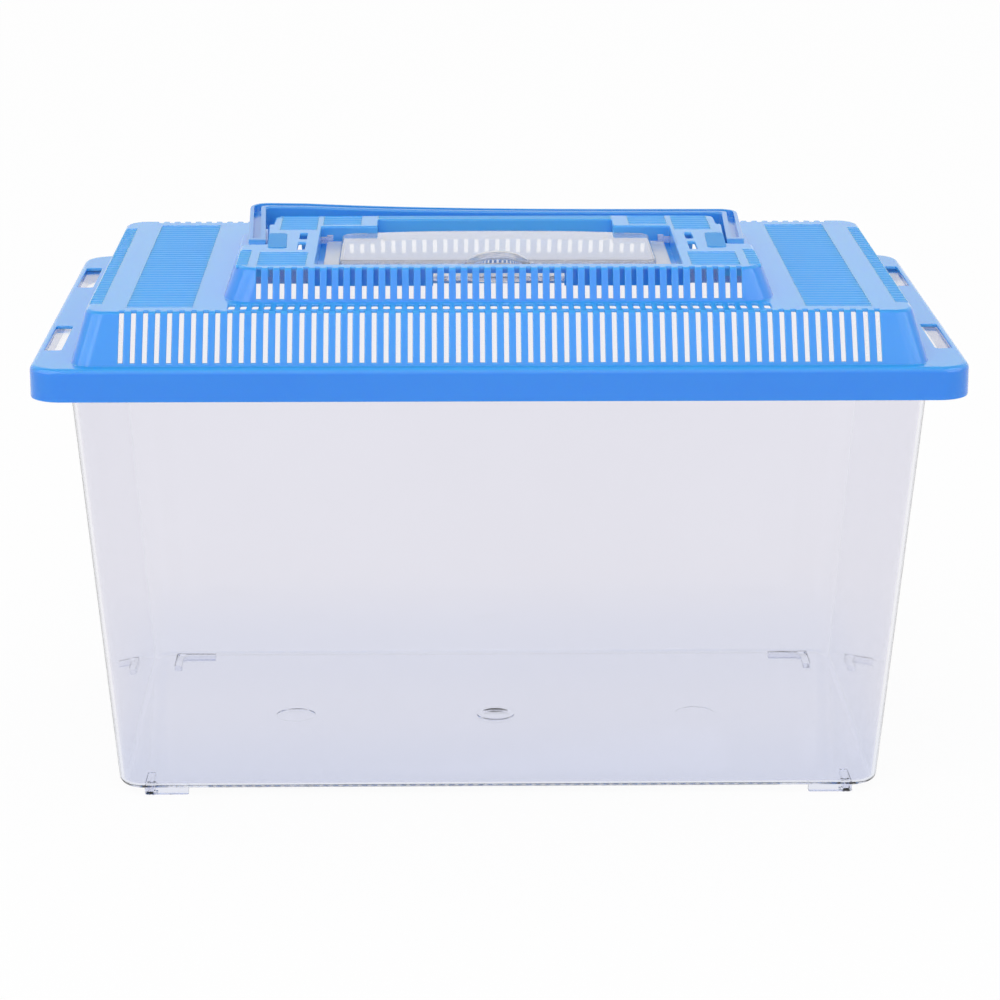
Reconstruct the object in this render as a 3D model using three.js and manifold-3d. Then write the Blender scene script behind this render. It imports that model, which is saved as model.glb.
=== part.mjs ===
// A plastic aquarium: a clear tub under a blue slotted lid that carries a bail handle and a clear hatch door.
// Millimetres. X runs along the length, Y from front to back and Z up, from the floor under the centre.
import * as THREE from "three";
import { mergeVertices } from "three/addons/utils/BufferGeometryUtils.js";
import Module from "manifold-3d";

const wasm = await Module();
wasm.setup();

// Overall size, over the lid's skirt
const overall = {
  length: 368,
  width: 230,
};

// Clear tub
const tub = {
  rimTop: 183.9,
  wall: 1.8,
  mouthInset: 14.5,
  leanX: 14.1,
  leanY: 12.4,
  cornerRadius: 10.5,
  baseRadius: 8,
  skirtClearance: 1.2,
};

// L-shaped feet moulded under the tub
const foot = {
  height: 3,
  leg: 18,
  thickness: 4,
  insetX: 9.4,
  insetY: 2.2,
};

// Lid: the skirt, and the flange that rests on the rim
const cover = {
  wall: 1.2,
  seatGap: 0.3,
  skirtHeight: 13.1,
  skirtRadius: 10,
  edgeRadius: 2.4,
};

// Slotted plateau on the flange
const plateau = {
  height: 19,
  insetX: 16,
  insetY: 5,
  leanX: 5.2,
  leanY: 13.3,
  cornerRadius: 8,
};

// Raised platform on the plateau, narrower behind the step that stops the handle
const platform = {
  height: 12.3,
  halfLength: 105.3,
  sideLean: 4.7,
  frontSetback: 17.2,
  frontLean: 7.2,
  frontRadius: 11,
  stepDepth: 50.8,
  backSetback: 53.7,
  narrowHalfLength: 95.2,
  backTaper: 0.7,
  backRadius: 5,
  flareLength: 33.5,
  flareRadius: 1.5,
  shelfHeight: 2,
  shelfSetback: 31.7,
  shelfRadius: 12,
};

// Air slots and holes
const slots = {
  pitch: 4.702,
  platformPitch: 4.665,
  width: 1.85,
  sill: 1,
  overTop: 2.7,
  plateauMargin: 12,
  platformMargin: 6,
  holeMargin: 1.5,
  holeWidth: 2.5,
  holeLength: 10,
  holeSetback: 2.5,
};

// Windows in the flange beside the plateau
const flangeWindow = {
  inset: 9.7,
  frontSetback: 35,
  frontLength: 44.5,
  backSetback: 30,
  backLength: 42,
};

// Through slots in the platform's top, inboard of the handle's pivots
const topSlot = {
  setback: 13.2,
  width: 3,
  ahead: 11.5,
  frontLength: 16,
  bridge: 6.5,
  backLength: 13.5,
};

// Recess that holds the hatch door
const recess = {
  halfLength: 73.8,
  frontRim: 8.3,
  backRim: 25,
  notchHalfLength: 50,
  notchRim: 9,
  depth: 7.8,
  ledgeWidth: 9.8,
  ledgeThickness: 1.5,
};

// Hatch door
const hatch = {
  plate: 2,
  seatGap: 0.3,
  edgeGap: 2.5,
  tabGap: 2,
  cornerRadius: 3,
  panInset: 6.5,
  panSetback: 24,
  panBow: 8.4,
  panHeight: 2.8,
  panWall: 1.5,
  panRadius: 4,
};

// Finger grip in the middle of the door: a dish in the plate, with a hood over its back
const grip = {
  ledgeGap: 0.7,
  dishHalfLength: 27,
  dishHalfWidth: 16,
  dishDepth: 4.6,
  hoodSetback: 5,
  hoodHalfLength: 13,
  hoodHalfWidth: 14,
  hoodHeight: 4.8,
  mouthHalfLength: 8,
  wall: 1.5,
};

// Hinge of the door
const hatchHinge = {
  forward: 4.5,
  pinRadius: 1.4,
  pinInWall: 1.2,
  clearance: 0.25,
  knuckleRadius: 2.4,
  knuckleLength: 3,
};

// Bail handle with a shallow channel in its top, bent round the platform
const bail = {
  height: 9.7,
  sideGap: 0.7,
  shelfGap: 0.5,
  armWidth: 7.2,
  crossbarWidth: 8,
  splay: 3,
  fingerGap: 8,
  cornerRadius: 8,
  outerRim: 1.8,
  innerRim: 2.2,
  channelDepth: 2.8,
  rise: 3,
  riseLevelShare: 0.906,
  risePower: 3.3,
  facetLength: 12,
};

// Pivots of the handle
const bailPivot = {
  behindStep: 11.5,
  pinRadius: 2.4,
  pinPastWall: 0.5,
  clearance: 0.25,
};

// Finish and mesh values
const cornerSteps = 5;
const edgeSteps = 3;
const roundSegments = 24;
const domeRings = 8;
const overrun = 2;
const weldDistance = 1e-4;

// Levels and half sizes that several pieces share
const halfLength = overall.length / 2;
const halfWidth = overall.width / 2;
const flangeTop = tub.rimTop + cover.seatGap + cover.wall;
const plateauTop = flangeTop + plateau.height;
const platformTop = plateauTop + platform.height;
const shelfTop = plateauTop + platform.shelfHeight;
const ledgeTop = platformTop - recess.depth;
const plateauBaseX = halfLength - plateau.insetX;
const plateauBaseY = halfWidth - plateau.insetY;
const plateauTopX = plateauBaseX - plateau.leanX;
const plateauTopY = plateauBaseY - plateau.leanY;
const platformFront = plateauTopY - platform.frontSetback - platform.frontLean;
const platformBack = plateauTopY - platform.backSetback;
const shelfBack = plateauTopY - platform.shelfSetback;
const stepY = platform.stepDepth - platformFront;
const recessFront = platformFront - recess.frontRim;
const recessBack = platformBack - recess.backRim;
const notchBack = platformBack - recess.notchRim;
const panFront = recessFront - hatch.panSetback;
const pivotY = stepY + bailPivot.behindStep;
const pivotZ = shelfTop + bail.shelfGap + bail.height / 2;
const gripY = grip.ledgeGap + grip.dishHalfWidth + recess.ledgeWidth - recessFront;
const hingeY = recessBack - hatchHinge.forward;
const hingeZ = ledgeTop + hatch.seatGap + hatchHinge.knuckleRadius;
const bailBack = platformBack + bail.fingerGap + bail.crossbarWidth;
const bailSlope = bail.splay / (bailBack - pivotY);

// Solids from three.js geometry

function solidOf(geometry) {
  const bare = new THREE.BufferGeometry();
  bare.setAttribute("position", geometry.getAttribute("position"));
  bare.setIndex(geometry.index);
  const merged = mergeVertices(bare, weldDistance);
  const corners = merged.index.array;
  const kept = [];
  for (let i = 0; i < corners.length; i += 3) {
    const [a, b, c] = corners.slice(i, i + 3);
    if (a !== b && b !== c && c !== a) kept.push(a, b, c);
  }
  const mesh = new wasm.Mesh({
    numProp: 3,
    vertProperties: new Float32Array(merged.attributes.position.array),
    triVerts: new Uint32Array(kept),
  });
  return new wasm.Manifold(mesh);
}

function geometryOf(solid) {
  const mesh = solid.getMesh();
  const geometry = new THREE.BufferGeometry();
  geometry.setAttribute("position", new THREE.BufferAttribute(mesh.vertProperties, 3));
  geometry.setIndex(new THREE.BufferAttribute(mesh.triVerts, 1));
  geometry.computeVertexNormals();
  return geometry;
}

function block(x0, x1, y0, y1, z0, z1) {
  const geometry = new THREE.BoxGeometry(x1 - x0, y1 - y0, z1 - z0);
  geometry.translate((x0 + x1) / 2, (y0 + y1) / 2, (z0 + z1) / 2);
  return solidOf(geometry);
}

function axle(radius, x0, x1, y, z) {
  const geometry = new THREE.CylinderGeometry(radius, radius, Math.abs(x1 - x0), roundSegments);
  geometry.rotateZ(Math.PI / 2);
  geometry.translate((x0 + x1) / 2, y, z);
  return solidOf(geometry);
}

// Half of an ellipsoid, above or below its flat face
function dome(rx, ry, rz, y, z, side) {
  const geometry = new THREE.SphereGeometry(1, roundSegments, 2 * domeRings);
  geometry.rotateX(Math.PI / 2);
  geometry.scale(rx, ry, rz);
  geometry.translate(0, y, z);
  const low = side > 0 ? z : z - rz - overrun;
  const high = side > 0 ? z + rz + overrun : z;
  const half = block(-rx - overrun, rx + overrun, y - ry - overrun, y + ry + overrun, low, high);
  return solidOf(geometry).intersect(half);
}

function ovalColumn(rx, ry, y, low, high) {
  const geometry = new THREE.CylinderGeometry(1, 1, high - low, roundSegments);
  geometry.rotateX(Math.PI / 2);
  geometry.scale(rx, ry, 1);
  geometry.translate(0, y, (low + high) / 2);
  return solidOf(geometry);
}

// A corner of an outline: an arc of the given radius that starts at the given quarter turn
function corner(x, y, radius, quarter) {
  const points = [];
  for (let i = 0; i <= cornerSteps; i += 1) {
    const angle = (quarter + i / cornerSteps) * (Math.PI / 2);
    points.push([x + radius * Math.cos(angle), y + radius * Math.sin(angle)]);
  }
  return points;
}

// A level outline, symmetric about X = 0, that can be wider at the front than at the back
function outline({ frontX, backX, front, back, frontRadius, backRadius, z }) {
  const flat = [
    ...corner(backX - backRadius, back - backRadius, backRadius, 0),
    ...corner(backRadius - backX, back - backRadius, backRadius, 1),
    ...corner(frontRadius - frontX, front + frontRadius, frontRadius, 2),
    ...corner(frontX - frontRadius, front + frontRadius, frontRadius, 3),
  ];
  return flat.map(([x, y]) => new THREE.Vector3(x, y, z));
}

function rectangle(halfX, halfY, radius, z) {
  return outline({
    frontX: halfX,
    backX: halfX,
    front: -halfY,
    back: halfY,
    frontRadius: radius,
    backRadius: radius,
    z,
  });
}

// A closed surface through level outlines with as many points each, flat at both ends
function loft(rings) {
  const count = rings[0].length;
  const positions = rings.flat().flatMap((point) => point.toArray());
  const faces = [];
  for (let ring = 0; ring + 1 < rings.length; ring += 1) {
    for (let i = 0; i < count; i += 1) {
      const a = ring * count + i;
      const b = ring * count + ((i + 1) % count);
      faces.push(a, b, b + count, a, b + count, a + count);
    }
  }
  const last = (rings.length - 1) * count;
  for (let i = 1; i + 1 < count; i += 1) {
    faces.push(0, i + 1, i);
    faces.push(last, last + i, last + i + 1);
  }
  const geometry = new THREE.BufferGeometry();
  geometry.setAttribute("position", new THREE.Float32BufferAttribute(positions, 3));
  geometry.setIndex(faces);
  return solidOf(geometry);
}

// How far in a wall's inner face lies, measured level, when the wall leans in over its height
function levelWall(wall, lean, height) {
  return (wall * Math.hypot(lean, height)) / height;
}

function mirrored(make) {
  return [-1, 1].map((side) => make(side));
}

function joined(solids) {
  return solids.reduce((whole, next) => whole.add(next));
}

function cutBy(solid, cutters) {
  return cutters.reduce((whole, cutter) => whole.subtract(cutter), solid);
}

// Tub

function tubRing(inset, z) {
  const rise = (z - foot.height) / (tub.rimTop - foot.height);
  const halfX = halfLength - tub.mouthInset - tub.leanX * (1 - rise) - inset;
  const halfY = halfWidth - tub.mouthInset - tub.leanY * (1 - rise) - inset;
  return rectangle(halfX, halfY, tub.cornerRadius - inset, z);
}

// Rings of the rounded edge between the floor and the walls
function tubBase(wall) {
  const radius = tub.baseRadius - wall;
  const rings = [];
  for (let i = 0; i <= cornerSteps; i += 1) {
    const angle = (i / cornerSteps) * (Math.PI / 2);
    const inset = wall + radius * (1 - Math.sin(angle));
    rings.push(tubRing(inset, foot.height + wall + radius * (1 - Math.cos(angle))));
  }
  return rings;
}

function makeFoot(sideX, sideY) {
  const outerX = halfLength - tub.mouthInset - tub.leanX - foot.insetX;
  const outerY = halfWidth - tub.mouthInset - tub.leanY - foot.insetY;
  const span = (side, outer, reach) => {
    const ends = [side * outer, side * (outer - reach)];
    return ends.sort((a, b) => a - b);
  };
  const top = foot.height + tub.baseRadius;
  const along = block(...span(sideX, outerX, foot.leg), ...span(sideY, outerY, foot.thickness), 0, top);
  const across = block(...span(sideX, outerX, foot.thickness), ...span(sideY, outerY, foot.leg), 0, top);
  return along.add(across);
}

function makeTank() {
  const rimX = halfLength - cover.wall - tub.skirtClearance;
  const rimY = halfWidth - cover.wall - tub.skirtClearance;
  const rimRadius = cover.skirtRadius - cover.wall;
  const underRim = tub.rimTop - tub.wall;
  const outside = loft([
    ...tubBase(0),
    tubRing(0, underRim),
    rectangle(rimX, rimY, rimRadius, underRim),
    rectangle(rimX, rimY, rimRadius, tub.rimTop),
  ]);
  const feet = mirrored((sideX) => joined(mirrored((sideY) => makeFoot(sideX, sideY))));
  const hollow = loft([...tubBase(tub.wall), tubRing(tub.wall, tub.rimTop + overrun)]);
  return joined([outside, ...feet]).subtract(hollow);
}

// Lid

function skirtSolid() {
  const rings = [rectangle(halfLength, halfWidth, cover.skirtRadius, flangeTop - cover.skirtHeight)];
  for (let i = 0; i <= edgeSteps; i += 1) {
    const angle = (i / edgeSteps) * (Math.PI / 2);
    const inset = cover.edgeRadius * (1 - Math.cos(angle));
    const z = flangeTop - cover.edgeRadius * (1 - Math.sin(angle));
    rings.push(rectangle(halfLength - inset, halfWidth - inset, cover.skirtRadius - inset, z));
  }
  return loft(rings);
}

function skirtHollow() {
  const halfX = halfLength - cover.wall;
  const halfY = halfWidth - cover.wall;
  const radius = cover.skirtRadius - cover.wall;
  const bottom = flangeTop - cover.skirtHeight - overrun;
  return loft([
    rectangle(halfX, halfY, radius, bottom),
    rectangle(halfX, halfY, radius, flangeTop - cover.wall),
  ]);
}

function plateauRing(wall, z) {
  const rise = (z - flangeTop) / plateau.height;
  const insetX = plateau.leanX * rise + (wall && levelWall(wall, plateau.leanX, plateau.height));
  const insetY = plateau.leanY * rise + (wall && levelWall(wall, plateau.leanY, plateau.height));
  return rectangle(plateauBaseX - insetX, plateauBaseY - insetY, plateau.cornerRadius - wall, z);
}

// Front part of the platform, up to the step; its back wall stands plumb
function platformFrontRing(wall, z) {
  const rise = (z - plateauTop) / platform.height;
  const sideWall = wall && levelWall(wall, platform.sideLean, platform.height);
  const frontWall = wall && levelWall(wall, platform.frontLean, platform.height);
  const halfX = platform.halfLength + platform.sideLean * (1 - rise) - sideWall;
  return outline({
    frontX: halfX,
    backX: halfX,
    front: -platformFront - platform.frontLean * (1 - rise) + frontWall,
    back: stepY - wall,
    frontRadius: platform.frontRadius - wall,
    backRadius: 0,
    z,
  });
}

// Narrow part behind the step; it starts inside the front part
function platformBackRing(wall, z) {
  return outline({
    frontX: platform.narrowHalfLength - wall,
    backX: platform.narrowHalfLength - platform.backTaper - wall,
    front: stepY - platform.frontRadius,
    back: platformBack - wall,
    frontRadius: 0,
    backRadius: platform.backRadius - wall,
    z,
  });
}

// Flare of the narrow part along the arms of the handle, from the step past the pivots
function flareRing(wall, z) {
  return outline({
    frontX: platform.narrowHalfLength - bailSlope * bailPivot.behindStep - wall,
    backX: platform.narrowHalfLength + bailSlope * platform.flareLength - wall,
    front: stepY,
    back: pivotY + platform.flareLength - wall,
    frontRadius: 0,
    backRadius: platform.flareRadius - Math.min(wall, platform.flareRadius / 2),
    z,
  });
}

function shelfRing(wall, z) {
  const halfX = platform.halfLength + platform.sideLean - wall;
  return outline({
    frontX: halfX,
    backX: halfX,
    front: stepY - platform.frontRadius,
    back: shelfBack - wall,
    frontRadius: 0,
    backRadius: platform.shelfRadius - wall,
    z,
  });
}

function platformSolid(wall, foundation) {
  const top = platformTop - wall;
  return joined([
    loft([platformFrontRing(wall, foundation), platformFrontRing(wall, top)]),
    loft([platformBackRing(wall, foundation), platformBackRing(wall, top)]),
    loft([flareRing(wall, foundation), flareRing(wall, top)]),
    loft([shelfRing(wall, foundation), shelfRing(wall, shelfTop - wall)]),
  ]);
}

// Frame of the door's recess with its ledge, and the space that it leaves
function recessFrame() {
  const bottom = ledgeTop - recess.ledgeThickness;
  const wall = cover.wall;
  const outerX = recess.halfLength + wall;
  const notchX = recess.notchHalfLength + wall;
  const main = block(-outerX, outerX, -recessFront - wall, recessBack + wall, bottom, platformTop);
  return main.add(block(-notchX, notchX, hingeY, notchBack + wall, bottom, platformTop));
}

function recessSpace() {
  const { halfLength: halfX, notchHalfLength: notchX, ledgeWidth } = recess;
  const below = ledgeTop - recess.ledgeThickness - overrun;
  const above = platformTop + overrun;
  return joined([
    block(-halfX, halfX, -recessFront, recessBack, ledgeTop, above),
    block(-notchX, notchX, hingeY, notchBack, below, above),
    block(ledgeWidth - halfX, halfX - ledgeWidth, ledgeWidth - recessFront, recessBack, below, above),
  ]);
}

// Middles of a row of slots: the pitch fills what the margin leaves on each side
function rowPlaces(halfSpan, margin, pitch) {
  const perSide = Math.floor((halfSpan - margin) / pitch);
  return Array.from({ length: 2 * perSide }, (_, i) => (i + 0.5 - perSide) * pitch);
}

// A slot across a leaning wall, cut from the sill up through the top edge
function slotCutter(x, sideY, topY, lean, height, base, wall) {
  const through = levelWall(wall, lean, height) + overrun;
  const rise = height - slots.sill + overrun;
  const slope = lean / height;
  const outerLow = topY + lean - slope * slots.sill + overrun;
  const profile = new THREE.Shape();
  profile.moveTo(outerLow, base + slots.sill);
  profile.lineTo(outerLow, base + slots.sill + rise);
  profile.lineTo(topY - slots.overTop, base + slots.sill + rise);
  profile.lineTo(topY - slots.overTop, base + height - wall - slots.overTop);
  profile.lineTo(outerLow - through - overrun, base + slots.sill);
  const geometry = new THREE.ExtrudeGeometry(profile, { depth: slots.width, bevelEnabled: false });
  geometry.translate(0, 0, -slots.width / 2);
  geometry.rotateY(Math.PI / 2);
  geometry.rotateX(Math.PI / 2);
  if (sideY < 0) geometry.rotateZ(Math.PI);
  geometry.translate(x, 0, 0);
  return solidOf(geometry);
}

function plateauSlots() {
  return rowPlaces(plateauTopX, slots.plateauMargin, slots.pitch).flatMap((x) =>
    mirrored((side) =>
      slotCutter(x, side, plateauTopY, plateau.leanY, plateau.height, flangeTop, cover.wall),
    ),
  );
}

function platformSlots() {
  return rowPlaces(platform.halfLength, slots.platformMargin, slots.platformPitch).map((x) =>
    slotCutter(x, -1, platformFront, platform.frontLean, platform.height, plateauTop, cover.wall),
  );
}

function plateauHoles() {
  const back = -platformFront - platform.frontLean - slots.holeSetback;
  const half = slots.holeWidth / 2;
  const low = plateauTop - cover.wall - overrun;
  return rowPlaces(platform.halfLength + platform.sideLean, slots.holeMargin, slots.pitch).map((x) =>
    block(x - half, x + half, back - slots.holeLength, back, low, plateauTop + overrun),
  );
}

function flangeWindows() {
  const inner = halfLength - flangeWindow.inset;
  const outer = halfLength - cover.wall;
  const low = flangeTop - cover.wall - overrun;
  const high = flangeTop + overrun;
  const front = flangeWindow.frontSetback - halfWidth;
  const back = halfWidth - flangeWindow.backSetback;
  return mirrored((side) => {
    const [x0, x1] = [side * inner, side * outer].sort((a, b) => a - b);
    return block(x0, x1, front, front + flangeWindow.frontLength, low, high).add(
      block(x0, x1, back - flangeWindow.backLength, back, low, high),
    );
  });
}

function topSlots() {
  const low = platformTop - cover.wall - overrun;
  const high = platformTop + overrun;
  const outer = platform.narrowHalfLength - topSlot.setback;
  const front = stepY - topSlot.ahead;
  const back = front + topSlot.frontLength + topSlot.bridge;
  return mirrored((side) => {
    const [x0, x1] = [side * outer, side * (outer - topSlot.width)].sort((a, b) => a - b);
    return block(x0, x1, front, front + topSlot.frontLength, low, high).add(
      block(x0, x1, back, back + topSlot.backLength, low, high),
    );
  });
}

function pivotSockets() {
  const reach = platform.narrowHalfLength + overrun;
  const inner = platform.narrowHalfLength - cover.wall - platform.backTaper - overrun;
  const radius = bailPivot.pinRadius + bailPivot.clearance;
  return mirrored((side) => axle(radius, side * inner, side * reach, pivotY, pivotZ));
}

function hingeSockets() {
  const inner = recess.halfLength - overrun;
  const outer = recess.halfLength + cover.wall + overrun;
  const radius = hatchHinge.pinRadius + hatchHinge.clearance;
  return mirrored((side) => axle(radius, side * inner, side * outer, hingeY, hingeZ));
}

function makeLid() {
  const outside = joined([
    skirtSolid(),
    loft([plateauRing(0, flangeTop - cover.wall), plateauRing(0, plateauTop)]),
    platformSolid(0, plateauTop - cover.wall),
  ]);
  const hollow = [
    skirtHollow(),
    loft([plateauRing(cover.wall, flangeTop - cover.wall), plateauRing(cover.wall, plateauTop - cover.wall)]),
    platformSolid(cover.wall, plateauTop - cover.wall),
  ];
  const shell = cutBy(outside, hollow).add(recessFrame());
  return cutBy(shell, [
    recessSpace(),
    ...plateauSlots(),
    ...platformSlots(),
    ...plateauHoles(),
    ...flangeWindows(),
    ...topSlots(),
    ...pivotSockets(),
    ...hingeSockets(),
  ]);
}

// Hatch door

// Outline of the raised pan, whose back edge bows out in the middle
function panRing(inset, z) {
  const halfX = recess.halfLength - hatch.edgeGap - hatch.panInset - inset;
  const back = hingeY - inset;
  const radius = hatch.panRadius - inset;
  const bow = (x) => hatch.panBow * (1 - (x / halfX) ** 2);
  return outline({
    frontX: halfX,
    backX: halfX,
    front: -panFront + inset,
    back,
    frontRadius: radius,
    backRadius: radius,
    z,
  }).map((point) => (point.y > -panFront / 2 ? point.setY(point.y + bow(point.x)) : point));
}

// The same outline with points along the back edge, so that the bow has its curve
function bowedPan(inset, z) {
  const ring = panRing(inset, z);
  const start = ring[cornerSteps];
  const end = ring[cornerSteps + 1];
  const between = [];
  for (let i = 1; i < roundSegments; i += 1) {
    const share = i / roundSegments;
    const x = start.x + (end.x - start.x) * share;
    const rise = hatch.panBow * 4 * share * (1 - share);
    between.push(new THREE.Vector3(x, start.y + rise, z));
  }
  return [...ring.slice(0, cornerSteps + 1), ...between, ...ring.slice(cornerSteps + 1)];
}

function doorPlate(low, high) {
  const halfX = recess.halfLength - hatch.edgeGap;
  const tabX = recess.notchHalfLength - hatch.tabGap;
  const plate = {
    frontX: halfX,
    backX: halfX,
    front: hatch.edgeGap - recessFront,
    back: hingeY,
    frontRadius: hatch.cornerRadius,
    backRadius: 0,
  };
  const tab = {
    frontX: tabX,
    backX: tabX,
    front: hingeY,
    back: notchBack - hatch.tabGap,
    frontRadius: 0,
    backRadius: hatch.cornerRadius,
  };
  const slab = (shape) => loft([outline({ ...shape, z: low }), outline({ ...shape, z: high })]);
  return slab(plate).add(slab(tab));
}

// The pocket for a finger: the dish, and the walls round it under the pan
function gripPocket(inset, high, top) {
  const halfX = grip.dishHalfLength - inset;
  const halfY = grip.dishHalfWidth - inset;
  const depth = hatch.plate + grip.dishDepth - inset;
  const underPan = ovalColumn(halfX, halfY, gripY, high, top - inset);
  return dome(halfX, halfY, depth, gripY, high, -1).add(
    underPan.intersect(loft([bowedPan(inset, high - overrun), bowedPan(inset, top)])),
  );
}

function gripHood(inset, high) {
  return dome(
    grip.hoodHalfLength - inset,
    grip.hoodHalfWidth - inset,
    grip.hoodHeight - inset,
    gripY + grip.hoodSetback,
    high,
    1,
  );
}

// The mouth of the grip, through the front of the hood and of the pan
function gripMouth(high) {
  const front = gripY - grip.dishHalfWidth;
  const back = -panFront + grip.wall + overrun;
  const top = high + grip.hoodHeight - grip.wall - overrun / 2;
  return block(-grip.mouthHalfLength, grip.mouthHalfLength, front, back, high, top);
}

function doorHinge(side) {
  const edge = recess.halfLength - hatch.edgeGap;
  const root = side * (edge - hatchHinge.knuckleLength);
  const pinEnd = side * (recess.halfLength + hatchHinge.pinInWall);
  return axle(hatchHinge.knuckleRadius, root, side * edge, hingeY, hingeZ).add(
    axle(hatchHinge.pinRadius, root, pinEnd, hingeY, hingeZ),
  );
}

function makeDoor() {
  const low = ledgeTop + hatch.seatGap;
  const high = low + hatch.plate;
  const panTop = high + hatch.panHeight;
  const outside = doorPlate(low, high).add(loft([bowedPan(0, low), bowedPan(0, panTop)]));
  const panHollow = loft([
    bowedPan(hatch.panWall, low - overrun),
    bowedPan(hatch.panWall, panTop - hatch.panWall),
  ]);
  const shell = outside.subtract(panHollow);
  const solid = joined([shell, gripPocket(0, high, panTop), gripHood(0, high), ...mirrored(doorHinge)]);
  return cutBy(solid, [gripPocket(grip.wall, high, panTop), gripHood(grip.wall, high), gripMouth(high)]);
}

// Bail handle

// Outline of the bail's outside for inset 0; a larger inset gives the edges of its channel and its inside
function bailOutline(insetSide, insetBack, front, z) {
  const pivotX = platform.narrowHalfLength + bail.sideGap + bail.armWidth;
  const frontX = pivotX - bailSlope * (pivotY - front) - insetSide;
  return outline({
    frontX,
    backX: pivotX + bail.splay - insetSide,
    front,
    back: bailBack - insetBack,
    frontRadius: 0,
    backRadius: Math.max(bail.cornerRadius - insetBack, bail.outerRim),
    z,
  });
}

function bailSlab(insetSide, insetBack, front, low, high) {
  return loft([
    bailOutline(insetSide, insetBack, front, low),
    bailOutline(insetSide, insetBack, front, high),
  ]);
}

// Side view of the arms: round at the pivot, straight to the back
function bailProfile() {
  const radius = bail.height / 2;
  const reach = platform.narrowHalfLength + bail.sideGap + bail.armWidth + bail.splay + overrun;
  const back = bailBack + overrun;
  const round = axle(radius, -reach, reach, pivotY, pivotZ);
  return round.add(block(-reach, reach, pivotY, back, pivotZ - radius, pivotZ + radius));
}

// Lifts the back left corner a little, as the flexible bail stands
function twisted(solid) {
  const geometry = geometryOf(solid.refineToLength(bail.facetLength));
  const points = geometry.getAttribute("position");
  const reachX = platform.narrowHalfLength + bail.sideGap + bail.armWidth + bail.splay;
  const start = pivotY + bailPivot.pinRadius;
  const reachY = bailBack - start;
  for (let i = 0; i < points.count; i += 1) {
    const left = (1 - points.getX(i) / reachX) / 2;
    const bent = Math.min(left / bail.riseLevelShare, 1) ** bail.risePower;
    const away = Math.max((points.getY(i) - start) / reachY, 0);
    points.setZ(i, points.getZ(i) + bail.rise * bent * away);
  }
  return geometry;
}

function makeHandle() {
  const radius = bail.height / 2;
  const low = pivotZ - radius;
  const high = pivotZ + radius;
  const front = pivotY - radius - overrun;
  const channelFront = pivotY + bail.outerRim;
  const channelFloor = high - bail.channelDepth;
  const outside = bailSlab(0, 0, front, low, high).intersect(bailProfile());
  const inside = bailSlab(bail.armWidth, bail.crossbarWidth, front - overrun, low - overrun, high + overrun);
  const channelOuter = bailSlab(bail.outerRim, bail.outerRim, channelFront, channelFloor, high + overrun);
  const channelInner = bailSlab(
    bail.armWidth - bail.innerRim,
    bail.crossbarWidth - bail.innerRim,
    front,
    low,
    high + overrun,
  );
  const channel = channelOuter.subtract(channelInner);
  const pins = mirrored((side) => {
    const wallInside = platform.narrowHalfLength - cover.wall - platform.backTaper / 2;
    const root = platform.narrowHalfLength + bail.sideGap + bail.innerRim / 2;
    return axle(bailPivot.pinRadius, side * (wallInside - bailPivot.pinPastWall), side * root, pivotY, pivotZ);
  });
  return joined([outside.subtract(inside).subtract(channel), ...pins]);
}

// Materials

function clearPlastic() {
  return new THREE.MeshStandardMaterial({
    color: 0xe6ebf2,
    roughness: 0.08,
    metalness: 0,
    transparent: true,
    opacity: 0.3,
  });
}

function bluePlastic() {
  return new THREE.MeshStandardMaterial({ color: 0x3f86e6, roughness: 0.25, metalness: 0 });
}

// Assembly

function named(name, geometry, material) {
  const mesh = new THREE.Mesh(geometry, material);
  mesh.name = name;
  return mesh;
}

const aquarium = new THREE.Group();
aquarium.add(named("tank", geometryOf(makeTank()), clearPlastic()));
aquarium.add(named("lid", geometryOf(makeLid()), bluePlastic()));
aquarium.add(named("door", geometryOf(makeDoor()), clearPlastic()));
aquarium.add(named("handle", twisted(makeHandle()), bluePlastic()));

export default aquarium;
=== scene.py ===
import math

import bmesh
import bpy
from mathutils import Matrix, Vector


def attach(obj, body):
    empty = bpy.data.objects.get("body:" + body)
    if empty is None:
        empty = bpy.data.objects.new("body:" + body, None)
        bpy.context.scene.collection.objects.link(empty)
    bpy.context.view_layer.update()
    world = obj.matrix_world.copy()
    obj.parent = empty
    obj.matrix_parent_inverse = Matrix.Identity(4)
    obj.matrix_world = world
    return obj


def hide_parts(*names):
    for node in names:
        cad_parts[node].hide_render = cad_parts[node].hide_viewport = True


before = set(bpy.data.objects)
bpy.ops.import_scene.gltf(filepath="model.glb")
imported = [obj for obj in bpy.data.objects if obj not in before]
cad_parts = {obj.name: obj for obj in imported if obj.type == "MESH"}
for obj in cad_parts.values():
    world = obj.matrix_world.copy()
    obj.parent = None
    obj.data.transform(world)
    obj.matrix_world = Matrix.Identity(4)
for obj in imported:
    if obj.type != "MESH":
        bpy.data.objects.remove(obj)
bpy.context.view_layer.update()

# A plastic aquarium: clear tank, blue slotted lid, clear hatch door and folding handle.
# Spans and sizes in the dictionaries are millimetres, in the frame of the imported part.
mm = 0.001

# Small helpers for working on one piece at a time


def alone(piece):
    bpy.ops.object.select_all(action="DESELECT")
    piece.select_set(True)
    bpy.context.view_layer.objects.active = piece


def edit(piece, kind):
    alone(piece)
    bpy.ops.object.mode_set(mode="EDIT")
    bpy.ops.mesh.select_mode(type=kind)
    bpy.ops.mesh.select_all(action="DESELECT")


def leave():
    bpy.ops.object.mode_set(mode="OBJECT")


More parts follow.
